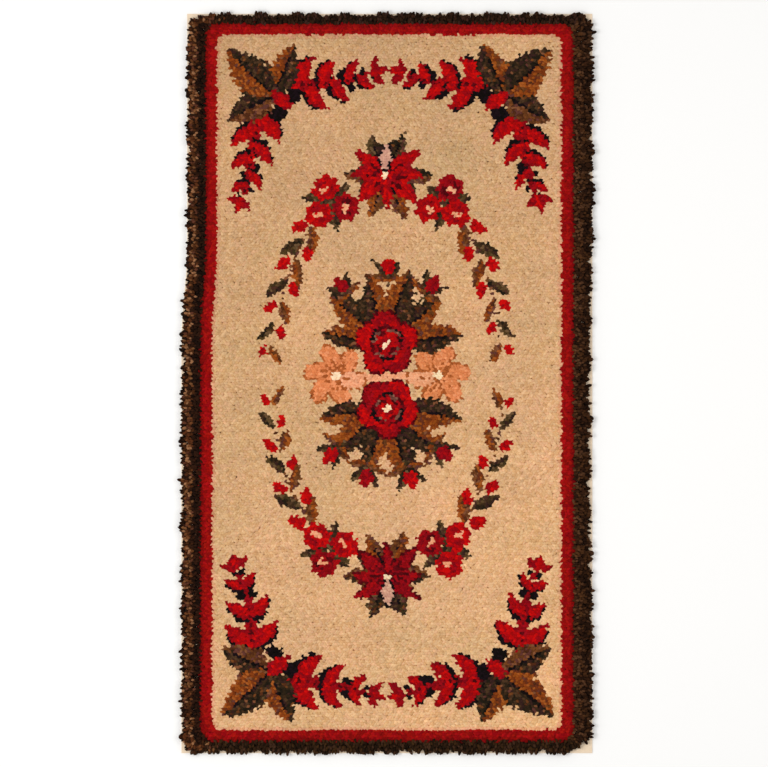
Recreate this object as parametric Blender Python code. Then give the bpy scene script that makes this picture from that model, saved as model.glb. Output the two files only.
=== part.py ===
"""A wool hooked rug: pile hooked through a linen foundation, inside a border of longer, darker loops.

Metres, +Z up. The rug lies flat on z = 0, with its length along Y and its origin under its middle.
"""

import math

import bmesh
import bpy
import numpy as np

# Driving dimensions
RUG_WIDTH = 0.690
RUG_LENGTH = 1.240
CLOTH_THICKNESS = 0.002
CLOTH_CORNER_RADIUS = 0.004
PILE_TOP = 0.0105
BORDER_TOP = 0.0120
GAP = 0.0003

# The dark border: its width on each side, how far it stays inside the cloth's edge, and its corners
SIDE_BORDER = 0.032
TOP_BORDER = 0.017
BOTTOM_BORDER = 0.021
BORDER_SETBACK = 0.003
BORDER_CORNER_RADIUS = 0.026
PILE_CORNER_RADIUS = 0.022

# The hand-made unevenness: the upper left part was pulled in, and the ends wave a little
PULLED_IN = 0.028
PULL_MIDDLE = 0.150
PULL_LENGTH = 0.160
END_WAVE = 0.0010
END_WAVE_LENGTH = 0.330

# The spacing of an outline's points, along ragged sides and along smooth ones
TUFT_SPACING = 0.006
SMOOTH_SPACING = 0.040
ARC_STEPS = 5

# How a pile's section is rounded: a share of its height, and how far that level lies inside its widest
PILE_SECTION = (
    # height share, inset
    (0.00, 0.0014),
    (0.32, 0.0000),
    (0.76, 0.0005),
    (1.00, 0.0028),
)

# The ragged outer side of each border run: long swells, single tufts, and the order of the tufts
BORDER_RUNS = (
    # side, swell, swell length, tuft reach, seed
    ("bottom", 0.0010, 0.085, 0.0018, 11),
    ("right", 0.0018, 0.062, 0.0034, 12),
    ("top", 0.0008, 0.090, 0.0014, 13),
    ("left", 0.0016, 0.055, 0.0030, 14),
)

# Along which way each side runs, anticlockwise, and which way it faces
SIDES = {
    "bottom": ((1, 0), (0, -1)),
    "right": ((0, 1), (1, 0)),
    "top": ((-1, 0), (0, 1)),
    "left": ((0, -1), (-1, 0)),
}


def clear_scene():
    for item in list(bpy.data.objects):
        bpy.data.objects.remove(item, do_unlink=True)


def wool_or_linen(name, colour, roughness):
    """A matte cloth material."""
    material = bpy.data.materials.new(name)
    material.use_nodes = True
    shader = material.node_tree.nodes["Principled BSDF"]
    shader.inputs["Base Color"].default_value = (*colour, 1.0)
    shader.inputs["Roughness"].default_value = roughness
    shader.inputs["Metallic"].default_value = 0.0
    return material


def pulled(points):
    """The flat plan as the worked rug lies: the upper left narrows by a smooth step, and the ends wave."""
    x, y = points[:, 0], points[:, 1]
    step = np.clip((y - PULL_MIDDLE) / PULL_LENGTH + 0.5, 0, 1)
    narrowed = np.where(x < 0, x * (1 - PULLED_IN * step * step * (3 - 2 * step)), x)
    wave = END_WAVE * np.sin(2 * math.pi * x / END_WAVE_LENGTH) * (2 * y / RUG_LENGTH)
    return np.column_stack((narrowed, y + wave))


def side_path(low, high, radius, side, spacing):
    """One side of a round-cornered rectangle, from the middle of one corner to the middle of the next.

    Returns its points and their outward normals: half an arc, the straight stretch, half an arc.
    """
    along, facing = (np.array(v, float) for v in SIDES[side])
    middle = (low + high) / 2
    half = (high - low) / 2 - radius
    start = middle + half * (facing - along)
    end = middle + half * (facing + along)
    turn = np.linspace(-math.pi / 4, 0, ARC_STEPS + 1)
    into = np.outer(np.cos(turn), facing) + np.outer(np.sin(turn), along)
    steps = max(2, round(np.linalg.norm(end - start) / spacing))
    share = np.linspace(0, 1, steps + 1)[1:-1, None]
    straight = start + share * (end - start)
    out_of = into[::-1] - 2 * np.outer(into[::-1] @ along, along)
    normals = np.vstack((into, np.tile(facing, (len(straight), 1)), out_of))
    first_arc = np.tile(start, (len(into), 1))
    last_arc = np.tile(end, (len(out_of), 1))
    return np.vstack((first_arc, straight, last_arc)) + radius * normals, normals


def closed_path(low, high, radius, spacing):
    """All four sides of a round-cornered rectangle, anticlockwise, with no point twice."""
    paths = [side_path(low, high, radius, side, spacing)[0][:-1] for side in SIDES]
    return np.vstack(paths)


def inset(points, distance):
    """A closed outline moved inwards along the mean normal of the two edges at each point."""
    edges = np.roll(points, -1, 0) - points
    normals = np.column_stack((edges[:, 1], -edges[:, 0]))
    normals /= np.linalg.norm(normals, axis=1, keepdims=True)
    mean = normals + np.roll(normals, 1, 0)
    mean /= np.linalg.norm(mean, axis=1, keepdims=True)
    return points - distance * mean


def solid_from_levels(name, outlines, heights, material):
    """Stacks outlines of equal length at their heights, joins them with walls and caps both ends."""
    mesh = bpy.data.meshes.new(name)
    work = bmesh.new()
    levels = []
    for outline, height in zip(outlines, heights):
        levels.append([work.verts.new((x, y, height)) for x, y in outline])
    for lower, upper in zip(levels, levels[1:]):
        for first in range(len(lower)):
            second = (first + 1) % len(lower)
            work.faces.new((lower[first], lower[second], upper[second], upper[first]))
    caps = [work.faces.new(levels[0][::-1]), work.faces.new(levels[-1])]
    bmesh.ops.triangulate(work, faces=caps)
    work.to_mesh(mesh)
    work.free()
    mesh.materials.append(material)
    made = bpy.data.objects.new(name, mesh)
    bpy.context.collection.objects.link(made)
    return made


def pile_solid(name, outline, top, material):
    """A pile over the given outline, from just above the cloth to its top, with a rounded section."""
    bottom = CLOTH_THICKNESS + GAP
    outlines = [inset(outline, distance) for _, distance in PILE_SECTION]
    heights = [bottom + share * (top - bottom) for share, _ in PILE_SECTION]
    return solid_from_levels(name, outlines, heights, material)


def foundation(material):
    """The linen cloth: a rectangle with barely rounded corners and its hem turned under."""
    half = np.array((RUG_WIDTH, RUG_LENGTH)) / 2
    outline = pulled(closed_path(-half, half, CLOTH_CORNER_RADIUS, SMOOTH_SPACING))
    return solid_from_levels("foundation", (outline, outline), (0.0, CLOTH_THICKNESS), material)


def pile_corners():
    """The lowest and highest corner of the field and red band together, in the flat plan."""
    half = np.array((RUG_WIDTH, RUG_LENGTH)) / 2
    low = -half + np.array((SIDE_BORDER, BOTTOM_BORDER))
    high = half - np.array((SIDE_BORDER, TOP_BORDER))
    return low, high


def hooked_pile(material):
    """Field, figure and red band, hooked at one height inside the border."""
    low, high = pile_corners()
    outline = pulled(closed_path(low, high, PILE_CORNER_RADIUS, SMOOTH_SPACING))
    return pile_solid("hooked_pile", outline, PILE_TOP, material)


def border_run(side, swell, swell_length, tuft_reach, seed, material):
    """One side of the border: a smooth inner side, mitred ends and a ragged comb of tufts outside."""
    half = np.array((RUG_WIDTH, RUG_LENGTH)) / 2 - BORDER_SETBACK
    outer, facing = side_path(-half, half, BORDER_CORNER_RADIUS, side, TUFT_SPACING)
    travelled = np.arange(len(outer)) * TUFT_SPACING
    tufts = np.random.default_rng(seed).uniform(-1, 1, len(outer))
    reach = swell * np.sin(2 * math.pi * travelled / swell_length) + tuft_reach * tufts
    reach[[0, -1]] = 0.0
    outer = outer + reach[:, None] * facing
    low, high = pile_corners()
    inner, facing_in = side_path(low - GAP, high + GAP, PILE_CORNER_RADIUS + GAP, side, SMOOTH_SPACING)
    for path, normals in ((outer, facing), (inner, facing_in)):
        along = np.column_stack((-normals[:, 1], normals[:, 0]))
        path[0] += GAP * along[0]
        path[-1] -= GAP * along[-1]
    outline = pulled(np.vstack((outer, inner[::-1])))
    return pile_solid(f"border_{side}", outline, BORDER_TOP, material)


def centre(parts):
    """Parents every part to one empty, which puts the middle of their joint box over the origin."""
    spots = np.array([v.co for part in parts for v in part.data.vertices])
    middle = (spots.min(axis=0) + spots.max(axis=0)) / 2
    rug = bpy.data.objects.new("rug", None)
    bpy.context.collection.objects.link(rug)
    rug.location = (-middle[0], -middle[1], 0.0)
    for part in parts:
        part.parent = rug


def build():
    clear_scene()
    linen = wool_or_linen("linen", (0.90, 0.72, 0.52), 0.90)
    ground_wool = wool_or_linen("ground_wool", (0.66, 0.41, 0.19), 0.95)
    border_wool = wool_or_linen("border_wool", (0.035, 0.017, 0.009), 0.95)
    parts = [foundation(linen), hooked_pile(ground_wool)]
    parts += [border_run(*run, border_wool) for run in BORDER_RUNS]
    centre(parts)


build()
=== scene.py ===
"""A wool hooked rug lying flat: linen foundation, hooked pile with its figure, and a shaggy dark border."""

import math

import bpy
import numpy as np
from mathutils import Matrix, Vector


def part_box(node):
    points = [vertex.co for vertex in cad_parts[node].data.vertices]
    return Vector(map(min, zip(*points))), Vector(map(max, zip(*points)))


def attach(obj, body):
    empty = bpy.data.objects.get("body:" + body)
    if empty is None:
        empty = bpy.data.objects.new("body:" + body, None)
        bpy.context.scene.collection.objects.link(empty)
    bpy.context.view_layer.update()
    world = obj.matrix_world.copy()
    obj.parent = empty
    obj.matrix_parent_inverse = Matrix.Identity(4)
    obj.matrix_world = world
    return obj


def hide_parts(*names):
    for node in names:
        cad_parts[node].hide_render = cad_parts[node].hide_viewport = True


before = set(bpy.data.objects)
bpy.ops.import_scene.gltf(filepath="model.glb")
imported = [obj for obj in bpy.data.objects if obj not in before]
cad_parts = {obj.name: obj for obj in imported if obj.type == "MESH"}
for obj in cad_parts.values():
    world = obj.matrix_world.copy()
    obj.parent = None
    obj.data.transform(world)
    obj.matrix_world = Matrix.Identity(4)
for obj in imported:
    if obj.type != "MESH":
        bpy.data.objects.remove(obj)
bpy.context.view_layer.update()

# ---------------------------------------------------------------------------------------------
# The studio: a plain pale floor, a large soft lamp high on the left, a weak one on the right,
# and a camera straight above the rug with a long lens, so that its sides stay straight.
# ---------------------------------------------------------------------------------------------

FLOOR_HALF = 7.0
CAMERA_HEIGHT = 5.0
VIEW_WIDTH = 1.2905
CAMERA_ASIDE = -0.0050
SENSOR = 0.036
SOFT_LAMPS = (
    # name, place, side, watts
    ("key_lamp", (-1.9, -0.1, 2.6), 1.6, 48.0),
    ("fill_lamp", (2.2, 0.1, 2.4), 2.0, 20.0),
)
SKY_STRENGTH = 0.66


def linear(shade):
    """An sRGB hex colour as linear red, green and blue: each channel through the sRGB curve, undone."""
    srgb = np.array([int(shade[i : i + 2], 16) for i in (1, 3, 5)]) / 255
    return np.where(srgb <= 0.04045, srgb / 12.92, ((srgb + 0.055) / 1.055) ** 2.4)


def node(tree, kind, settings=None, inputs=None):
    """Adds a node, sets its properties, and fills its inputs with values or with links from outputs."""
    made = tree.nodes.new(kind)
    for name, value in (settings or {}).items():
        setattr(made, name, value)
    for name, value in (inputs or {}).items():
        if isinstance(value, bpy.types.NodeSocket):
            tree.links.new(value, made.inputs[name])
        else:
            made.inputs[name].default_value = value
    return made


def new_material(name):
    """An empty material with its node tree, its shader and its output removed."""
    material = bpy.data.materials.new(name)
    material.use_nodes = True
    material.node_tree.nodes.clear()
    return material, material.node_tree


def painted_floor():
    """A matte, near-white painted floor."""
    material, tree = new_material("pale_floor_paint")
    shader = node(
        tree,
        "ShaderNodeBsdfPrincipled",
        inputs={"Base Color": (*linear("#F6F5F3"), 1.0), "Roughness": 0.85},
    )
    node(tree, "ShaderNodeOutputMaterial", inputs={"Surface": shader.outputs[0]})
    return material


def object_from(name, mesh, material):
    """Puts a mesh with one material into the scene at the origin."""
    mesh.materials.append(material)
    made = bpy.data.objects.new(name, mesh)
    bpy.context.scene.collection.objects.link(made)
    return made


floor_mesh = bpy.data.meshes.new("floor")
corners = [(x * FLOOR_HALF, y * FLOOR_HALF, 0.0) for x, y in ((-1, -1), (1, -1), (1, 1), (-1, 1))]
floor_mesh.from_pydata(corners, [], [(0, 1, 2, 3)])
object_from("floor", floor_mesh, painted_floor())

for lamp_name, place, side, watts in SOFT_LAMPS:
    lamp_data = bpy.data.lights.new(lamp_name, "AREA")
    lamp_data.size = side
    lamp_data.energy = watts
    lamp = bpy.data.objects.new(lamp_name, lamp_data)
    lamp.location = place
    towards_rug = -lamp.location.normalized()
    lamp.rotation_euler = towards_rug.to_track_quat("-Z", "Y").to_euler()
    bpy.context.scene.collection.objects.link(lamp)

sky = bpy.data.worlds.new("soft_sky")
sky.use_nodes = True
sky.node_tree.nodes["Background"].inputs["Color"].default_value = (1.0, 1.0, 1.0, 1.0)
sky.node_tree.nodes["Background"].inputs["Strength"].default_value = SKY_STRENGTH
bpy.context.scene.world = sky
bpy.context.scene.view_settings.view_transform = "Standard"

camera_data = bpy.data.cameras.new("camera")
camera_data.sensor_width = SENSOR * 1000
camera_data.lens = SENSOR * 1000 * CAMERA_HEIGHT / VIEW_WIDTH
camera_data.clip_end = 50.0
camera = bpy.data.objects.new("camera", camera_data)
camera.location = (CAMERA_ASIDE, 0.0, CAMERA_HEIGHT)
bpy.context.scene.collection.objects.link(camera)
bpy.context.scene.camera = camera

# ---------------------------------------------------------------------------------------------
# The foundation: a pale, unbleached plain weave of linen thread. Its hem is turned under all round
# and pressed flat, and it shows at the corners and in slivers past the border.
# ---------------------------------------------------------------------------------------------

CLOTH_LOW, CLOTH_HIGH = (np.array(v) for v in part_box("foundation"))
CLOTH_MIDDLE = (CLOTH_LOW + CLOTH_HIGH)[:2] / 2
CLOTH_HALF = (CLOTH_HIGH - CLOTH_LOW)[:2] / 2
CLOTH_TOP = CLOTH_HIGH[2]
THREAD_PITCH = 0.0021
LINEN_THICKNESS = 0.0003
HEM = 0.018
HEM_ROLL = 0.0005
SIDE_HEM_DEPTH = 0.0010
END_HEM_DEPTH = 0.0016
CLOTH_CELLS = (58, 100)
PULLED_IN = 0.028
PULL_MIDDLE = 0.150
PULL_LENGTH = 0.160


def pulled(plan):
    """The flat plan as the worked rug lies: left of the middle, x narrows by a smooth step upwards."""
    x, y = plan[:, 0], plan[:, 1]
    step = np.clip((y - PULL_MIDDLE) / PULL_LENGTH + 0.5, 0, 1)
    narrowed = np.where(x < 0, x * (1 - PULLED_IN * step * step * (3 - 2 * step)), x)
    return np.column_stack((narrowed, y)) + CLOTH_MIDDLE


def hemmed(across, half):
    """Where points across a cloth lie once its edges are turned under: their place, and the turn's share.

    Past the fold at half, the distance runs back inwards, while the share goes from 0 to 1 in a half round.
    """
    over = np.maximum(np.abs(across) - half, 0)
    turn = np.clip(over / (math.pi * HEM_ROLL), 0, 1) * math.pi
    back = np.maximum(over - math.pi * HEM_ROLL, 0)
    place = np.minimum(np.abs(across), half) + HEM_ROLL * np.sin(turn) - back
    return np.sign(across) * place, (1 - np.cos(turn)) / 2


def cloth_steps(half, cells):
    """Even steps across the cloth, with extra ones round the fold and to the hem's raw edge."""
    inside = np.linspace(-half, half, cells)
    past = half + np.array((0.4, 0.8, 1.2, 1.6, 2.0, 2.6, math.pi)) * HEM_ROLL
    raw = half + math.pi * HEM_ROLL + HEM * np.array((0.35, 0.7, 1.0))
    outer = np.concatenate((past, raw))
    return np.concatenate((-outer[::-1], inside, outer))


def foundation_cloth():
    """A grid carried over both folds. The sides are turned under first and the ends over them, so the
    depth is the end hem's share of its depth, and the side hem's added, or taken off under the end hem."""
    half = CLOTH_HALF - HEM_ROLL - LINEN_THICKNESS / 2
    u, v = (cloth_steps(half[i], CLOTH_CELLS[i]) for i in (0, 1))
    grid_u, grid_v = (g.ravel() for g in np.meshgrid(u, v))
    x, side_turn = hemmed(grid_u, half[0])
    y, end_turn = hemmed(grid_v, half[1])
    spots = pulled(np.column_stack((x, y)))
    depth = END_HEM_DEPTH * end_turn + SIDE_HEM_DEPTH * side_turn * (1 - 1.3 * end_turn)
    height = CLOTH_TOP - LINEN_THICKNESS / 2 - depth
    index = np.arange(len(u) * len(v)).reshape(len(v), len(u))
    faces = np.stack((index[:-1, :-1], index[:-1, 1:], index[1:, 1:], index[1:, :-1]), -1).reshape(-1, 4)
    mesh = bpy.data.meshes.new("foundation_cloth")
    mesh.from_pydata(np.column_stack((spots, height)).tolist(), [], faces.tolist())
    mesh.shade_smooth()
    threads = mesh.uv_layers.new(name="threads")
    corner = np.empty(len(mesh.loops), np.int32)
    mesh.loops.foreach_get("vertex_index", corner)
    threads.uv.foreach_set("vector", np.column_stack((grid_u, grid_v))[corner].astype(np.float32).ravel())
    return mesh


def unbleached_linen():
    """Unbleached linen in plain weave: round, matte threads over and under each other.

    The eye sees a pale peach-cream cloth, with slubs that run along single threads, and painted shade in
    the dips between threads.
    """
    material, tree = new_material("unbleached_linen")
    metres = node(tree, "ShaderNodeUVMap", {"uv_map": "threads"})
    split = node(tree, "ShaderNodeSeparateXYZ", inputs={"Vector": metres.outputs[0]})
    waves = []
    for axis in ("X", "Y"):
        turn = node(
            tree,
            "ShaderNodeMath",
            {"operation": "MULTIPLY"},
            {0: split.outputs[axis], 1: math.pi / THREAD_PITCH},
        )
        waves.append(node(tree, "ShaderNodeMath", {"operation": "SINE"}, {0: turn.outputs[0]}))
    weave = node(
        tree, "ShaderNodeMath", {"operation": "MULTIPLY"}, {0: waves[0].outputs[0], 1: waves[1].outputs[0]}
    )
    relief = node(tree, "ShaderNodeMath", {"operation": "ABSOLUTE"}, {0: weave.outputs[0]})
    slubs = node(
        tree,
        "ShaderNodeTexNoise",
        inputs={"Vector": metres.outputs[0], "Scale": 1 / (6 * THREAD_PITCH), "Detail": 3.0},
    )
    tint = node(
        tree,
        "ShaderNodeMix",
        {"data_type": "RGBA"},
        {0: slubs.outputs[0], 6: (*linear("#F6DAB8"), 1.0), 7: (*linear("#FFEACF"), 1.0)},
    )
    # Painted shade: the cloth's colour is darkened to 0.78 where the weave dips between threads.
    shade = node(
        tree,
        "ShaderNodeMapRange",
        inputs={"Value": relief.outputs[0], "To Min": 0.78, "To Max": 1.0},
    )
    colour = node(
        tree,
        "ShaderNodeMix",
        {"data_type": "RGBA", "blend_type": "MULTIPLY"},
        {0: 1.0, 6: tint.outputs[2], 7: shade.outputs[0]},
    )
    bump = node(
        tree,
        "ShaderNodeBump",
        inputs={"Strength": 0.6, "Distance": 0.0004, "Height": relief.outputs[0]},
    )
    shader = node(
        tree,
        "ShaderNodeBsdfPrincipled",
        inputs={
            "Base Color": colour.outputs[2],
            "Roughness": 0.9,
            "Specular IOR Level": 0.3,
            "Sheen Weight": 0.1,
            "Normal": bump.outputs[0],
        },
    )
    node(tree, "ShaderNodeOutputMaterial", inputs={"Surface": shader.outputs[0]})
    return material


cloth = object_from("foundation_cloth", foundation_cloth(), unbleached_linen())
thicken = cloth.modifiers.new("linen thickness", "SOLIDIFY")
thicken.thickness = LINEN_THICKNESS
thicken.offset = 0.0
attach(cloth, "root")
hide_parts("foundation")

# ---------------------------------------------------------------------------------------------
# The hooked pile: loops of wool pulled up through the cloth, row by row across the rug. Each loop is
# one short bend of a yarn, packed against its neighbours, and takes its dye from the drawn design.
# ---------------------------------------------------------------------------------------------

PILE_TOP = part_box("hooked_pile")[1][2]
LOOP_PITCH = 0.0045
ROW_PITCH = 0.0042
LOOP_SHAKE = 0.00050
SIDE_BORDER = 0.032
TOP_BORDER = 0.017
BOTTOM_BORDER = 0.021
PILE_CORNER = 0.022
PILE_LOW = -CLOTH_HALF + np.array((SIDE_BORDER, BOTTOM_BORDER))
PILE_HIGH = CLOTH_HALF - np.array((SIDE_BORDER, TOP_BORDER))
PILE_STRIPS = 5
BORDER_SHADOW = 0.008
BACK_STITCH = 0.0004
BLEED = 0.0045
PAINTED_LIGHT_PER_METRE = (0.19, -0.17)
rng = np.random.default_rng(1907)


def depth_inside(plan, low, high, corner):
    """How far points lie inside a round-cornered rectangle: less than nothing outside it."""
    half = (high - low) / 2 - corner
    away = np.abs(plan - (low + high) / 2) - half
    outside = np.hypot(*np.maximum(away, 0).T)
    return corner - outside - np.minimum(away.max(axis=1), 0)


def hooking_rows():
    """Loop places in the plan: even rows, every other one half a loop along, each row waving a little."""
    reach = CLOTH_HALF + LOOP_PITCH
    rows = np.arange(-reach[1], reach[1], ROW_PITCH)
    along = np.arange(-reach[0], reach[0], LOOP_PITCH)
    row, x = (g.ravel() for g in np.meshgrid(np.arange(len(rows)), along, indexing="ij"))
    y = rows[row] + 0.0008 * np.sin(x / 0.037 + row * 0.3)
    x = x + LOOP_PITCH / 2 * (row % 2) + 0.0012 * np.sin(y / 0.045)
    shaken = rng.normal(0, LOOP_SHAKE, (len(x), 2))
    return np.column_stack((x, y)) + shaken


rows = hooking_rows()
pile_plan = rows[depth_inside(rows, PILE_LOW, PILE_HIGH, PILE_CORNER) > -0.0008]

# The dyed wools, each as the few shades that one hank or one dye bath gives.
WOOLS = {
    "ground": ("#D3A878", "#DAB184", "#CD9F6F", "#D8A97F", "#D2A87C"),
    "band red": ("#960B08", "#840A08", "#A20D10", "#8C060D", "#9C130B"),
    "scarlet": ("#B40608", "#A00608", "#C40A08", "#AC060C", "#940610"),
    "crimson": ("#900610", "#7E0612", "#A0080E", "#84060C", "#960A16"),
    "maroon": ("#56050C", "#48050A", "#640812"),
    "black": ("#120B0A", "#180D12", "#0E0908"),
    "plum": ("#281420", "#301828", "#22101C"),
    "rust": ("#863E12", "#904814", "#743410", "#9E5420", "#642E18"),
    "tobacco": ("#603618", "#70401E", "#4E2814", "#7C4C30", "#5E342C"),
    "olive": ("#4C381C", "#5A4428", "#3C2E18", "#664C32", "#4A2C20"),
    "forest": ("#2C2012", "#3A2716", "#20190F", "#4A3320", "#361F1A"),
    "salmon": ("#DE8856", "#D47E4C", "#E69464"),
    "brick": ("#AC5C2C", "#9E5226"),
    "peach": ("#E8A47C", "#E29A70"),
    "mauve": ("#CE9A82", "#C48E7A", "#D8A88C"),
    "cream": ("#F6DAB4", "#F2D0A8"),
    "smoke": ("#7A4A3C", "#6A3E34", "#8A5A48"),
}
WOOL_NAMES = list(WOOLS)
MM = 0.001
HAND_SHAKE = 0.9


def worked(plan):
    """Where the design lies under each loop, in millimetres: a hand-drawn pattern strays a little."""
    x, y = plan[:, 0] / MM, plan[:, 1] / MM
    stray_x = 1.6 * np.sin(x / 31 + y / 47) + 1.2 * np.sin(y / 19 - x / 53 + 1.3)
    stray_y = 1.6 * np.sin(y / 37 - x / 41 + 0.7) + 1.2 * np.sin(x / 23 + y / 61 + 2.1)
    return np.column_stack((x + stray_x, y + stray_y))


design_at = worked(pile_plan) + rng.normal(0, HAND_SHAKE, pile_plan.shape)
wool = np.full(len(pile_plan), WOOL_NAMES.index("ground"))


def dip(where, name):
    """Gives the loops picked out by a mask their wool."""
    wool[where] = WOOL_NAMES.index(name)


def turned(at, x, y, degrees):
    """Points as distances along and to the left of a direction, from one place."""
    angle = math.radians(degrees)
    away = at - (x, y)
    along = away @ (math.cos(angle), math.sin(angle))
    left = away @ (-math.sin(angle), math.cos(angle))
    return along, left


def ahead(x, y, degrees, far):
    """The point a distance from another, in one direction."""
    return x + far * math.cos(math.radians(degrees)), y + far * math.sin(math.radians(degrees))


def curved(x, y, to_x, to_y, bend, share):
    """Points on an arc at shares of its length, and its headings there, in degrees.

    The arc is a straight line with a parabola laid on its left, as high as the bend.
    """
    share = np.asarray(share, float)[:, None]
    span = np.array((to_x - x, to_y - y))
    left = np.array((-span[1], span[0])) / max(np.hypot(*span), 1e-6)
    path = (x, y) + share * span + 4 * bend * share * (1 - share) * left
    heading = span + 4 * bend * (1 - 2 * share) * left
    return path, np.degrees(np.arctan2(heading[:, 1], heading[:, 0]))


def brushed(at, path, radius, name):
    """A stroke of one wool: discs of changing radius, laid along a path."""
    reach = np.ptp(path, axis=0) / 2 + radius.max()
    near = np.flatnonzero((np.abs(at - (path.min(axis=0) + path.max(axis=0)) / 2) < reach).all(axis=1))
    gap = np.hypot(at[near, None, 0] - path[:, 0], at[near, None, 1] - path[:, 1]) - radius
    dip(near[gap.min(axis=1) < 0], name)


def lobe(at, x, y, to_x, to_y, bend, radii, name):
    """A petal, stem or berry: a stroke along an arc, with its radii at the start, middle and end."""
    share = np.linspace(0, 1, 11)
    path, _ = curved(x, y, to_x, to_y, bend, share)
    brushed(at, path, np.interp(share, (0, 0.5, 1), radii), name)


def petal(at, x, y, degrees, length, bend, width, heart, edge, taper=(0.30, 0.50, 0.16)):
    """A shaded petal: a lobe in its edge's darker wool, and a slimmer one in its heart's wool over it.

    Its radii at the start, middle and end are the taper's shares of its width.
    """
    tip = ahead(x, y, degrees, length)
    radii = width * np.array(taper)
    lobe(at, x, y, *tip, bend, radii, edge)
    lobe(at, x, y, *tip, bend, np.maximum(radii - 2.8, 0.3), heart)


def leaf(at, x, y, to_x, to_y, width, fullest, left_wool, right_wool, tooth=11.0, rib="black"):
    """A toothed leaf in two halves: a sine outline, broadest at one share of the length, whose edge
    steps out once a tooth. A broad leaf has a rib, and veins that slant forwards from it."""
    length = math.hypot(to_x - x, to_y - y)
    along, left = turned(at, x, y, math.degrees(math.atan2(to_y - y, to_x - x)))
    share = np.clip(along / length, 0, 1)
    edge = width / 2 * np.sin(math.pi * share ** (math.log(0.5) / math.log(fullest))) ** 0.85
    edge = edge * (0.84 + 0.30 * np.mod(along / tooth, 1)) + 1.2 * (1 - share)
    inside = (along > 0) & (along < length) & (np.abs(left) < edge)
    dip(inside & (left >= 0), left_wool)
    dip(inside & (left < 0), right_wool)
    if width > 26:
        veins = (np.mod(along - 0.8 * np.abs(left), 1.6 * tooth) < 4.0) & (np.abs(left) > 0.3 * edge)
        dip(inside & veins & (np.abs(left) < 0.75 * edge), "tobacco")
        dip(inside & (np.abs(left) < 1.6) & (share < 0.75), rib)


# The red band runs round just inside the border, and its inner corners are rounder than its outer ones.
BAND_WIDTHS = np.array((20.0, 19.0)) * MM
BAND_CORNER = 0.014
in_field = depth_inside(pile_plan, PILE_LOW + BAND_WIDTHS, PILE_HIGH - BAND_WIDTHS, BAND_CORNER)
dip(in_field < 0, "band red")

# The figure is drawn by rule, on a plan in millimetres: things fan out by even angles, and what grows
# along a stem gets smaller towards its tip. A bud, a small round flower and a scroll come first.
FIELD = ((PILE_HIGH - PILE_LOW) / 2 - BAND_WIDTHS) / MM


def bud(at, x, y, degrees, length, width, name="scarlet"):
    """A closed bud: an oval, drawn out to a point where it opens."""
    along, left = turned(at, x, y, degrees)
    share = along / (length / 2)
    edge = width / 2 * np.sqrt(np.clip(1 - share**2, 0, 1)) * (1 - 0.25 * share)
    dip((np.abs(share) < 1) & (np.abs(left) < edge), name)


def roundel(at, x, y, radius, outer, inner):
    """A small full flower: a scalloped disc, a darker ring broken twice, and a pale eye off its middle."""
    away = at - (x, y)
    far, angle = np.hypot(*away.T), np.arctan2(away[:, 1], away[:, 0])
    rim = radius * (1 + 0.08 * np.sin(7 * angle + x))
    dip(far < rim, outer)
    ring = np.abs(far - 0.50 * radius) < 0.14 * radius
    dip(ring & (np.sin(2 * angle + y) > 0.1), inner)
    along, left = turned(at, x + 1.5, y - 2, 50 + x)
    dip((np.abs(along) < 0.36 * radius) & (np.abs(left) < 0.17 * radius), "peach")


# A scroll's lobes are broad at the root and run out to a point, like flames.
FLAME = (0.36, 0.40, 0.08)


def scroll(at, x, y, to_x, to_y, bend, pairs, reach, stagger):
    """A scroll: a stem that thins along an arc, and pairs of lobes that lean forwards and curl back.

    Each lobe is as long as the reach, less six tenths of its share of the stem, with a dark lobe behind
    it and a berry in its curl. Staggered lobes stand a share of the pair's spacing before and after.
    """
    lobe(at, x, y, to_x, to_y, bend, (13, 9, 5), "crimson")
    for side in (1, -1):
        share = (np.arange(pairs) + 0.30 + stagger * side) / pairs
        path, heading = curved(x, y, to_x, to_y, bend, share)
        for (root_x, root_y), degrees, length in zip(path, heading, reach * (1 - 0.6 * share)):
            aim, width, bow = degrees + 52 * side, 0.62 * length, 0.10 * length * side
            behind = ahead(root_x, root_y, degrees + 180, 0.11 * length)
            petal(at, *behind, aim + 5 * side, 0.96 * length, bow, width, "black", "black", FLAME)
            petal(at, root_x, root_y, aim, length, bow, width, "scarlet", "crimson", FLAME)
            curl = ahead(root_x, root_y, aim - 34 * side, 0.80 * length)
            lobe(at, *curl, *curl, 0, (0.16 * length,) * 3, "black")
    lobe(at, x, y, to_x, to_y, bend, (3, 2.6, 1.5), "maroon")
    (_, _), (_, degrees) = curved(x, y, to_x, to_y, bend, (0, 1))
    for spread, name in ((62, "crimson"), (-62, "crimson"), (0, "scarlet")):
        petal(at, to_x, to_y, degrees + spread, 0.42 * reach, 0, 0.26 * reach, name, "crimson")


# A corner of the figure: five leaves fan from a joint, long and short in turn, and a scroll runs from
# it each way. The upper corners' scrolls have staggered lobes, and the lower corners' have them in pairs.
JOINT_X, JOINT_Y = FIELD * (2 / 3, 5 / 6)
FAN_MIDDLE = 42.0
FAN_STEP = 36.0
FAN_LEAVES = (
    # length, width, left wool, right wool
    (92, 50, "forest", "tobacco"),
    (58, 32, "tobacco", "rust"),
    (112, 58, "forest", "rust"),
    (58, 32, "olive", "forest"),
    (92, 50, "forest", "rust"),
)
SCROLLS = (
    # x from the joint, y from the joint, tip x, tip y, bend, pairs, reach
    (-34, 12, 26, FIELD[1] - 62, 5, 3, 58),
    (28, -40, FIELD[0] - 40, FIELD[1] / 2 + 20, -6, 3, 56),
)


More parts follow.
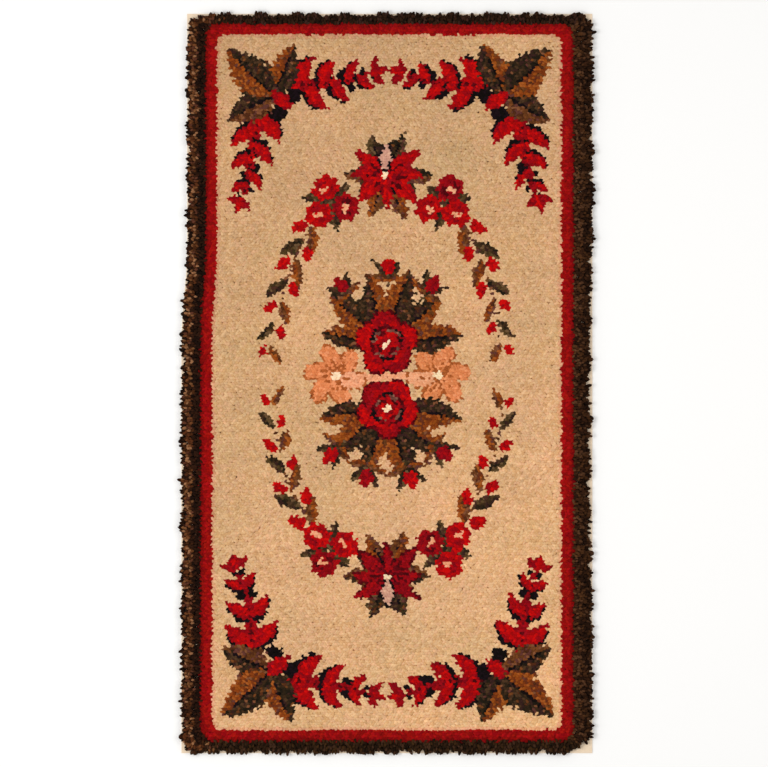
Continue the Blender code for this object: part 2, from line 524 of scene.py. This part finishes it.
def corner(at, stagger):
    """One corner's leaves, berries and scrolls, with the short leaves under the long ones."""
    for out_x, out_y, *rest in SCROLLS:
        scroll(at, JOINT_X + out_x, JOINT_Y + out_y, *rest, stagger)
    for step in (1, 3, 0, 4, 2):
        length, width, *wools = FAN_LEAVES[step]
        tip = ahead(JOINT_X, JOINT_Y, FAN_MIDDLE + FAN_STEP * (step - 2), length)
        leaf(at, JOINT_X, JOINT_Y, *tip, width, 0.42, *wools)
    for spread in (-34, 34):
        berry = ahead(JOINT_X, JOINT_Y, FAN_MIDDLE + 180 + spread, 32)
        lobe(at, *berry, *berry, 0, (13, 13, 13), "black")
    petal(at, JOINT_X, JOINT_Y, FAN_MIDDLE + 180, 36, 0, 24, "scarlet", "crimson")


# The wreath lies on an oval. At each quarter a spray runs down it from three round flowers, with a leaf
# on one side and a bud on the other at even steps, and a lily stands at each end.
WREATH_MIDDLE = 13.0
WREATH = FIELD * (2 / 3, 4 / 7)
SPRAY_TURN = (49.0, 9.0)
SPRAY_STEPS = 7
SPRAY_WOOLS = (
    # left wool, right wool
    ("tobacco", "rust"),
    ("forest", "olive"),
    ("rust", "tobacco"),
    ("olive", "forest"),
)
ROUNDEL_TURN = 60.0
ROUNDEL_RADIUS = 22.0


def on_oval(turn):
    """Points on the wreath's oval at some turns, in degrees, and the headings down it towards its side."""
    cosine, sine = np.cos(np.radians(turn)), np.sin(np.radians(turn))
    path = np.column_stack((WREATH[0] * cosine, WREATH[1] * sine))
    return path, np.degrees(np.arctan2(-WREATH[1] * cosine, WREATH[0] * sine))


def spray(at):
    """One quarter's spray: a thin stem on the oval, and leaves and buds that change sides at each step."""
    path, _ = on_oval(np.linspace(SPRAY_TURN[0] + 4, SPRAY_TURN[1], 40))
    brushed(at, path, np.linspace(2.6, 1.6, 40), "tobacco")
    path, heading = on_oval(np.linspace(*SPRAY_TURN, SPRAY_STEPS))
    for step in range(SPRAY_STEPS):
        (x, y), side, size = path[step], (-1) ** step, 1 - 0.35 * step / SPRAY_STEPS
        leaf_tip = ahead(x, y, heading[step] - 34 * side, 54 * size)
        leaf(at, x, y, *leaf_tip, 19 * size, 0.48, *SPRAY_WOOLS[step % 4], tooth=8.0)
        bud_middle = ahead(x, y, heading[step] + 48 * side, 24 * size)
        bud(at, *bud_middle, heading[step] + 30 * side, 30 * size, 19 * size)


def roundels(at, dark):
    """Three round flowers in a triangle at the head of a spray, one of them darker, and leaves between."""
    ((x, y),), (heading,) = on_oval(np.array((ROUNDEL_TURN,)))
    for spread in (60, 180, 300):
        leaf(at, x, y, *ahead(x, y, heading + spread, 48), 16, 0.5, "olive", "forest", tooth=8.0)
    for i, spread in enumerate((0, 120, 240)):
        tones = ("crimson", "maroon") if i == dark else ("scarlet", "crimson")
        roundel(at, *ahead(x, y, heading + spread, 27), ROUNDEL_RADIUS, *tones)


def lily(at, heart, edge):
    """A lily about its eye: five leaves a side at even angles, long and short in turn, then three
    petals a side, one that points inwards, and a mauve one that points outwards from a dark throat."""
    for flip in (1, -1):
        for step in range(5):
            length = 58 if step % 2 else 76
            wools = (("forest", "olive"), ("rust", "tobacco"), ("forest", "tobacco"))[step % 3]
            leaf(at * (flip, 1), 0, 0, *ahead(0, 0, 68 - 33 * step, length), 28, 0.55, *wools, tooth=9.0)
    for flip in (1, -1):
        for degrees, length in ((-40, 56), (2, 50), (36, 60)):
            petal(at * (flip, 1), *ahead(0, 0, degrees, 6), degrees, length, 4, 28, heart, edge)
            vein = (*ahead(0, 0, degrees, 9), *ahead(0, 0, degrees, 34))
            lobe(at * (flip, 1), *vein, 2, (1, 2, 1), "maroon")
    petal(at, 0, -6, -90, 44, 0, 20, heart, edge)
    lobe(at, 0, 10, 0, 50, 0, (4, 13, 6), "black")
    lobe(at, 0, 12, 0, 48, 0, (3, 10, 4), "mauve")
    lobe(at, -4, 2, 4, 6, 0, (3, 4, 3), "cream")


for flip in (-1, 1):
    for end in (1, -1):
        corner(design_at * (flip, end), 0.22 if end == 1 else 0.0)
        quarter = (design_at - (0, WREATH_MIDDLE)) * (flip, end)
        spray(quarter)
        roundels(quarter, dark=1 if flip == end else 2)
wreath_at = design_at - (0, WREATH_MIDDLE)
lily(wreath_at - (0, WREATH[1]), "scarlet", "crimson")
lily((wreath_at + (0, WREATH[1])) * (1, -1), "crimson", "maroon")

# The posy in the middle: a salmon flower at each side, and two full roses. Six toothed leaves fan from
# behind each rose, and sprigs of one bud each stand beyond them.
ROSE_OUT = 54.0
SALMON_OUT = 87.0
POSY_FAN = (8.0, 172.0, 6)
SPRIGS = (
    # upper rose or lower, first degrees, last degrees, how many, distance out, size
    (1, 52, 128, 3, 128, 26),
    (-1, 38, 140, 4, 124, 27),
)
SPRIG_LEAVES = (
    # degrees aside, length in sizes, left wool, right wool
    (34, 1.7, "forest", "olive"),
    (-32, 1.6, "forest", "forest"),
    (78, 1.5, "rust", "tobacco"),
    (-76, 1.2, "tobacco", "rust"),
)


def sprig(at, x, y, degrees, size, name):
    """A bud held by two slim sepals that spring from its foot, with a slim leaf on each side of them."""
    foot = ahead(x, y, degrees + 180, 0.9 * size)
    lobe(at, *ahead(*foot, degrees + 180, 0.5 * size), *foot, 0, (1.8, 1.8, 1.8), "olive")
    for aside, far, *wools in SPRIG_LEAVES:
        tip = ahead(*foot, degrees + aside, far * size)
        leaf(at, *foot, *tip, 0.42 * size, 0.5, *wools, tooth=8.0)
    bud(at, x, y, degrees, 1.1 * size, 0.85 * size, name)


def salmon_flower(at, x, y, first, radius=52.0):
    """Six round petals at even angles, each laid over the last, with a brown edge and a brown midrib."""
    for step in (0, 2, 4, 1, 3, 5):
        degrees = first + 60 * step
        root, tip = ahead(x, y, degrees, 8), ahead(x, y, degrees, radius - 13)
        lobe(at, *root, *tip, 4, (6, 16, 14), "brick")
        lobe(at, *root, *tip, 4, (4, 13, 11.5), "peach" if step == 3 else "salmon")
        lobe(at, *root, *ahead(x, y, degrees, 0.55 * radius), 3, (1.6, 1.6, 0.8), "brick")
    lobe(at, x - 2, y, x + 2, y, 0, (6, 6, 6), "cream")


def rose(at, x, y, first):
    """A full rose: five round petals at even angles, each folded over the last with a dark line, then
    rings that wind inwards to a pale heart. Each ring is a band of distances, in some sectors."""
    for step in range(5):
        middle = ahead(x, y, first + 72 * step, 27)
        lobe(at, *middle, *middle, 0, (27, 27, 27), "maroon")
        lobe(at, *middle, *middle, 0, (24, 24, 24), "crimson" if step % 3 == 1 else "scarlet")
    away = at - (x, y)
    far, angle = np.hypot(*away.T), np.mod(np.degrees(np.arctan2(away[:, 1], away[:, 0])) - first, 360)
    wound = far + angle / 72
    dip(far < 36, "crimson")
    dip((wound > 30) & (wound < 38) & (np.mod(angle, 120) < 84) & (far < 37), "scarlet")
    dip((wound > 26) & (wound < 31) & (np.mod(angle + 40, 90) < 66), "maroon")
    dip((wound > 26) & (wound < 31) & (np.mod(angle + 10, 120) < 46), "black")
    dip((wound > 21) & (wound < 26) & (np.mod(angle - 15, 90) < 44), "smoke")
    dip((wound > 13) & (wound < 21), "scarlet")
    dip((wound > 16) & (wound < 21) & (np.mod(angle + 30, 100) < 46), "maroon")
    lobe(at, x - 4, y - 2, x + 4, y + 2, 0, (4.5, 4.5, 4.5), "cream")


lobe(wreath_at, -50, 0, 50, 0, 0, (8, 6, 8), "peach")
for side in (1, -1):
    salmon_flower(wreath_at * (side, 1), SALMON_OUT, 0, 8)
for end in (1, -1):
    half = wreath_at * (1, end)
    for step, degrees in enumerate(np.linspace(*POSY_FAN)):
        wools = ("rust", "forest") if (step + end) % 2 else ("forest", "rust")
        root = ahead(0, ROSE_OUT, degrees, 30)
        tip = ahead(0, ROSE_OUT, degrees, 128 - 14 * (step % 2))
        leaf(half, *root, *tip, 48 - 8 * (step % 2), 0.45, *wools)
for end, first, last, count, out, size in SPRIGS:
    for step, degrees in enumerate(np.linspace(first, last, count)):
        middle = ahead(0, ROSE_OUT, degrees, out)
        sprig(wreath_at * (1, end), *middle, degrees, size, ("crimson", "scarlet")[step % 2])
rose(wreath_at, 0, ROSE_OUT, 20)
rose(wreath_at, 0, -ROSE_OUT, 200)

# A loop's shape, as levels from the cloth to its crown: the yarn bulges, then closes over the bend. Each
# level's shade is painted shade: it darkens the dye there, most at the roots.
LOOP_SIDES = 5
LOOP_LEVELS = (
    # height share, width share, reach share, painted shade
    (0.00, 1.86, 0.0, 0.90),
    (0.80, 1.38, 0.6, 0.97),
)
LOOP_HALF_WIDTH = 0.0026
LOOP_STRETCH = (1.36, 0.86)
TWIST = 0.55


def loops_mesh(name, roots, reach, width, height, turn, dye_and_painted_light, levels, bottom):
    """Loops as one mesh: rings of points at each level, stretched along the loop, and a crown point.

    A loop stands its height above its own bottom. Faces go in order of height, undersides first.
    """
    count = len(roots)
    corner = np.arange(LOOP_SIDES) * 2 * math.pi / LOOP_SIDES
    ring = np.stack((LOOP_STRETCH[0] * np.cos(corner), LOOP_STRETCH[1] * np.sin(corner)), -1)
    cosine, sine = np.cos(turn)[:, None], np.sin(turn)[:, None]
    ring_x = ring[:, 0] * cosine - ring[:, 1] * sine
    ring_y = ring[:, 0] * sine + ring[:, 1] * cosine
    per_loop = LOOP_SIDES * len(levels) + 1
    spots = np.empty((count, per_loop, 3), np.float32)
    tones = np.ones((count, per_loop, 4), np.float32)
    bottom = bottom[:, None]
    for level, (rise, wide, lean, shade) in enumerate(levels):
        at = slice(level * LOOP_SIDES, (level + 1) * LOOP_SIDES)
        spots[:, at, 0] = roots[:, :1] + reach[:, :1] * lean + ring_x * width[:, None] * wide
        spots[:, at, 1] = roots[:, 1:2] + reach[:, 1:2] * lean + ring_y * width[:, None] * wide
        spots[:, at, 2] = bottom + height[:, None] * rise
        # Painted shade: each ring takes the dye times its level's shade, darker towards the roots; the
        # crown takes the dye itself.
        tones[:, at, :3] = dye_and_painted_light[:, None] * shade
    spots[:, -1, :2] = roots[:, :2] + reach
    spots[:, -1, 2] = bottom[:, 0] + height
    tones[:, -1, :3] = dye_and_painted_light
    first = np.arange(count)[:, None] * per_loop
    here = np.arange(LOOP_SIDES)
    after = (here + 1) % LOOP_SIDES
    faces = [(first + here[::-1]).reshape(-1, LOOP_SIDES)]
    for level in range(len(levels) - 1):
        low, high = level * LOOP_SIDES, (level + 1) * LOOP_SIDES
        wall = np.stack((low + here, low + after, high + after, high + here), -1)
        faces.append((first[:, None] + wall).reshape(-1, 4))
    top = (len(levels) - 1) * LOOP_SIDES
    crown = np.stack((top + here, top + after, np.full(LOOP_SIDES, per_loop - 1)), -1)
    faces.append((first[:, None] + crown).reshape(-1, 3))
    mesh = bpy.data.meshes.new(name)
    mesh.vertices.add(count * per_loop)
    mesh.vertices.foreach_set("co", spots.ravel())
    sizes = np.concatenate([np.full(len(f), f.shape[1]) for f in faces])
    corners_all = np.concatenate([f.ravel() for f in faces]).astype(np.int32)
    mesh.loops.add(len(corners_all))
    mesh.loops.foreach_set("vertex_index", corners_all)
    mesh.polygons.add(len(sizes))
    mesh.polygons.foreach_set("loop_start", (np.cumsum(sizes) - sizes).astype(np.int32))
    mesh.update(calc_edges=True)
    mesh.attributes.new("dye_and_painted_light", "FLOAT_COLOR", "POINT").data.foreach_set("color", tones.ravel())
    flat = spots.reshape(-1, 3)[corners_all, :2]
    low, high = flat.min(axis=0), flat.max(axis=0)
    plan_map = mesh.uv_layers.new(name="OFBake")
    plan_map.uv.foreach_set("vector", ((flat - low) / (high - low)).astype(np.float32).ravel())
    mesh.shade_smooth()
    return mesh


def dyed_wool(name, yarn, fuzz):
    """Dyed wool yarn, hooked and never shorn: matte, faintly fuzzy, with its plies just to be seen.

    The eye gets a soft, deep colour that is uneven from loop to loop, and darkens down to the roots with
    painted shade carried in the loops' colour attribute.
    """
    material, tree = new_material(name)
    place = node(tree, "ShaderNodeTexCoord")
    dye_and_painted_light = node(tree, "ShaderNodeAttribute", {"attribute_name": "dye_and_painted_light"})
    fibre = node(
        tree,
        "ShaderNodeTexNoise",
        inputs={"Vector": place.outputs["Object"], "Scale": 1 / yarn, "Detail": 2.0, "Roughness": 0.6},
    )
    uneven = node(
        tree,
        "ShaderNodeMapRange",
        inputs={
            "Value": fibre.outputs[0],
            "From Min": 0.3,
            "From Max": 0.7,
            "To Min": 0.84,
            "To Max": 1.12,
        },
    )
    colour = node(
        tree,
        "ShaderNodeMix",
        {"data_type": "RGBA", "blend_type": "MULTIPLY"},
        {0: 1.0, 6: dye_and_painted_light.outputs["Color"], 7: uneven.outputs[0]},
    )
    bump = node(
        tree,
        "ShaderNodeBump",
        inputs={"Strength": 0.5, "Distance": yarn / 4, "Height": fibre.outputs[0]},
    )
    shader = node(
        tree,
        "ShaderNodeBsdfPrincipled",
        inputs={
            "Base Color": colour.outputs[2],
            "Roughness": 0.92,
            "Specular IOR Level": 0.05,
            "Sheen Weight": fuzz,
            "Sheen Roughness": 0.5,
            "Normal": bump.outputs[0],
        },
    )
    node(tree, "ShaderNodeOutputMaterial", inputs={"Surface": shader.outputs[0]})
    return material


def drift(plan, seed):
    """Slow stains and fading over the rug: a sum of long waves in random directions, about nothing."""
    waves = np.random.default_rng(seed)
    total = np.zeros(len(plan))
    for length in (0.55, 0.38, 0.24, 0.15, 0.09):
        angle, phase = waves.uniform(0, 2 * math.pi, 2)
        travelled = plan @ (math.cos(angle), math.sin(angle))
        total += np.sin(2 * math.pi * travelled / length + phase)
    return total / 3


shades = np.full((len(WOOLS), 5, 3), np.nan)
for i, names in enumerate(WOOLS.values()):
    for j in range(5):
        shades[i, j] = linear(names[j % len(names)])
blotch = drift(14 * pile_plan, 6) + rng.normal(0, 0.8, len(wool))
hank = np.argsort(np.argsort(blotch)) * 5 // len(wool)
picked = shades[wool, hank]
picked = picked * rng.normal(1.0, 0.06, (len(wool), 1))
is_ground = (wool == WOOL_NAMES.index("ground"))[:, None]
ran = is_ground & (in_field < BLEED)[:, None]
picked = np.where(ran, picked * (1.0, 0.84, 0.90), picked)
# Painted light: the field is made a little paler towards the lower right, and all of it drifts slowly.
picked = np.where(is_ground, picked * (1 + pile_plan @ PAINTED_LIGHT_PER_METRE)[:, None], picked)
tint = np.column_stack((drift(pile_plan, 3), drift(pile_plan, 4), drift(pile_plan, 5)))
picked = picked * np.where(is_ground, 1 + 0.045 * tint[:, :1] + 0.018 * tint, 1 + 0.02 * tint)
# Painted shadow: the pile's dye darkens to 0.55 at its foot by the border, over the border shadow's width,
# where the taller border loops shade it.
from_border = depth_inside(pile_plan, PILE_LOW, PILE_HIGH, PILE_CORNER)
pile_dye_and_shadow = np.clip(picked * np.interp(from_border, (0, BORDER_SHADOW), (0.55, 1.0))[:, None], 0, 1)

loop_turn = TWIST * np.where(rng.random(len(pile_plan)) < 0.8, 1, -1) * np.sign(drift(4 * pile_plan, 8))
loop_turn = loop_turn + rng.normal(0, 0.35, len(pile_plan))
wool_finish = dyed_wool("dyed_wool_loops", 0.0011, 0.02)
from_left = np.argsort(np.argsort(pile_plan[:, 0]))
strip_of = (from_left * PILE_STRIPS) // len(pile_plan)
for strip in range(PILE_STRIPS):
    mine = strip_of == strip
    many = int(mine.sum())
    lean = rng.normal(0, 0.0007, (many, 2))
    pile = object_from(
        f"hooked_pile_{strip + 1}",
        loops_mesh(
            f"hooked_pile_{strip + 1}",
            pulled(pile_plan[mine]),
            lean,
            LOOP_HALF_WIDTH * rng.uniform(0.90, 1.12, many),
            (PILE_TOP - BACK_STITCH) * rng.uniform(0.95, 1.02, many),
            loop_turn[mine],
            pile_dye_and_shadow[mine],
            LOOP_LEVELS,
            BACK_STITCH * rng.uniform(0.3, 1.7, many),
        ),
        wool_finish,
    )
    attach(pile, "root")
    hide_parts("hooked_pile")

# ---------------------------------------------------------------------------------------------
# The border: longer, coarser loops of mixed blackish-brown wool, hooked last all round. They lean
# outwards over the cloth's edge and end unevenly, shaggiest down the two sides.
# ---------------------------------------------------------------------------------------------

SHAG_PITCH = 0.0042
SHAG_SETBACK = 0.0032
SHAG_CORNER = 0.026
BARE_CORNER = (0.046, 0.028)
# The border loops darken with painted shade towards their roots, to half their colour at the cloth.
SHAG_LEVELS = (
    # height share, width share, reach share, painted shade
    (0.00, 1.60, 0.00, 0.50),
    (0.55, 1.36, 0.30, 0.80),
    (0.90, 1.04, 0.78, 1.00),
)
SHAG_HALF_WIDTH = 0.0023
SHAG_HANKS = {
    "border_left": ("#241208", "#1C0E08", "#2C170C", "#180C06", "#30180C"),
    "border_right": ("#4A2C16", "#3A2010", "#2E190C", "#523420", "#26140A"),
    "border_top": ("#2A180C", "#22130A", "#301C10", "#1C1008", "#38221A"),
    "border_bottom": ("#2E1C0E", "#26160A", "#38230F", "#1E1208", "#3C2618"),
}
# Painted light: tan hanks for the left border's flank, as if lit from the left.
LIT_FLANK_HANKS = ("#502A14", "#643A1E", "#3C200E", "#70482A", "#2C170B", "#8C6040", "#563020", "#44240F")
LIT_FLANK = (0.0070, 0.0190)
LIT_FLANK_END = -0.292
SHAG_SWELLS = (
    # depth, length round the rug
    (0.0016, 0.071),
    (0.0013, 0.029),
)
DRAWN_IN = 0.0045
DRAWN_IN_MIDDLE = -0.075
DRAWN_IN_LENGTH = 0.25
SHAG_REACH = {
    "border_left": 0.0034,
    "border_right": 0.0040,
    "border_top": 0.0026,
    "border_bottom": 0.0030,
}


def shag_rows():
    """Border loop places in the plan: a shaken even net, kept where it lies between pile and edge.

    The edge swells in two waves, and on the right it is drawn in along the middle, so the linen shows.
    """
    reach = CLOTH_HALF
    x, y = np.meshgrid(*(np.arange(-half, half, SHAG_PITCH) for half in reach))
    x = x + SHAG_PITCH / 2 * (np.arange(len(x)) % 2)[:, None]
    net = np.column_stack((x.ravel(), y.ravel()))
    net = net + rng.normal(0, 0.0006, net.shape)
    edge = depth_inside(net, -CLOTH_HALF, CLOTH_HALF, SHAG_CORNER)
    round_the_rug = net[:, 0] * np.sign(net[:, 1]) + net[:, 1] * np.sign(net[:, 0])
    for depth, length in SHAG_SWELLS:
        edge = edge + depth * np.sin(2 * math.pi * round_the_rug / length)
    along = (net[:, 1] - DRAWN_IN_MIDDLE) / DRAWN_IN_LENGTH
    edge = edge - np.where(net[:, 0] > 0, DRAWN_IN * np.exp(-(along**4)), 0)
    pile = depth_inside(net, PILE_LOW, PILE_HIGH, PILE_CORNER)
    to_corner = (CLOTH_HALF[0] - net[:, 0]) / BARE_CORNER[0] + (CLOTH_HALF[1] + net[:, 1]) / BARE_CORNER[1]
    kept = (edge > SHAG_SETBACK) & (pile < 0.0004) & (to_corner > 1 + rng.normal(0, 0.04, len(net)))
    return net[kept], edge[kept]


shag_plan, shag_edge = shag_rows()
share = shag_plan / CLOTH_HALF
sideways = (CLOTH_HALF[0] - np.abs(shag_plan[:, 0])) / SIDE_BORDER
endways = (CLOTH_HALF[1] - np.abs(shag_plan[:, 1])) / np.where(share[:, 1] > 0, TOP_BORDER, BOTTOM_BORDER)
at_side = sideways < endways
run_name = np.where(
    at_side,
    np.where(share[:, 0] < 0, "border_left", "border_right"),
    np.where(share[:, 1] < 0, "border_bottom", "border_top"),
)
facing = np.where(at_side[:, None], (1, 0), (0, 1)) * np.sign(shag_plan)
corner_pull = np.clip(1.6 - np.maximum(sideways, endways), 0, 1)[:, None]
facing = facing + corner_pull * np.sign(shag_plan) * np.where(at_side[:, None], (0, 1), (1, 0))
facing = facing / np.linalg.norm(facing, axis=1, keepdims=True)
shag_finish = dyed_wool("border_wool_loops", 0.0014, 0.01)

for run, hanks in SHAG_HANKS.items():
    mine = run_name == run
    many = int(mine.sum())
    plan, edge = shag_plan[mine], shag_edge[mine]
    mixed = drift(9 * plan, 11) + rng.normal(0, 0.8, many)
    order = np.argsort(np.argsort(mixed)) / many
    wool_and_painted_light = np.array([linear(h) for h in hanks])[(order * len(hanks)).astype(int)]
    lit_flank_tone = np.array([linear(h) for h in LIT_FLANK_HANKS])[(order * len(LIT_FLANK_HANKS)).astype(int)]
    # Painted light: near the left end, a tan ridge between the outermost rows and the inner ones stands for
    # the border's lit flank; the rows outside and inside it keep the run's dark wool.
    ridge = edge + rng.normal(0, 0.0012, many)
    by_ridge = (ridge > LIT_FLANK[0]) & (ridge < LIT_FLANK[1])
    on_lit_flank = by_ridge & (plan[:, 0] < LIT_FLANK_END + rng.normal(0, 0.008, many))
    wool_and_painted_light = np.where(on_lit_flank[:, None], lit_flank_tone, wool_and_painted_light)
    wool_and_painted_light = wool_and_painted_light * rng.normal(1.0, 0.10, (many, 1)).clip(0.6, 1.5)
    # Painted light and shade: the right run is lighter on its inner, left-facing flank and darker, down to
    # 0.58, on its outer one, as if lit from the left.
    if run == "border_right":
        wool_and_painted_light = wool_and_painted_light * np.interp(edge, (0.010, 0.016, 0.022, 0.027), (0.58, 0.82, 1.08, 1.15))[:, None]
    outermost = np.clip(1.30 - edge / 0.012, 0, 1)
    far = SHAG_REACH[run] * (0.20 + outermost * rng.gamma(14.0, 1 / 14, many).clip(0.4, 1.5))
    reach = facing[mine] * far[:, None] + rng.normal(0, 0.0012, (many, 2))
    over_hem = shag_edge[mine] < HEM + 0.003
    bottom = np.where(over_hem, CLOTH_TOP, BACK_STITCH * rng.uniform(0.3, 1.7, many))
    tall = (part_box(run)[1][2] - CLOTH_TOP) * (1 - 0.22 * outermost) * rng.uniform(0.90, 1.0, many)
    shag = object_from(
        f"shag_{run}",
        loops_mesh(
            f"shag_{run}",
            pulled(plan),
            reach,
            SHAG_HALF_WIDTH * rng.uniform(0.88, 1.18, many),
            tall + CLOTH_TOP - bottom,
            np.arctan2(facing[mine][:, 1], facing[mine][:, 0]) + rng.normal(0, 0.5, many),
            wool_and_painted_light,
            SHAG_LEVELS,
            bottom,
        ),
        shag_finish,
    )
    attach(shag, "root")
    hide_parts(run)
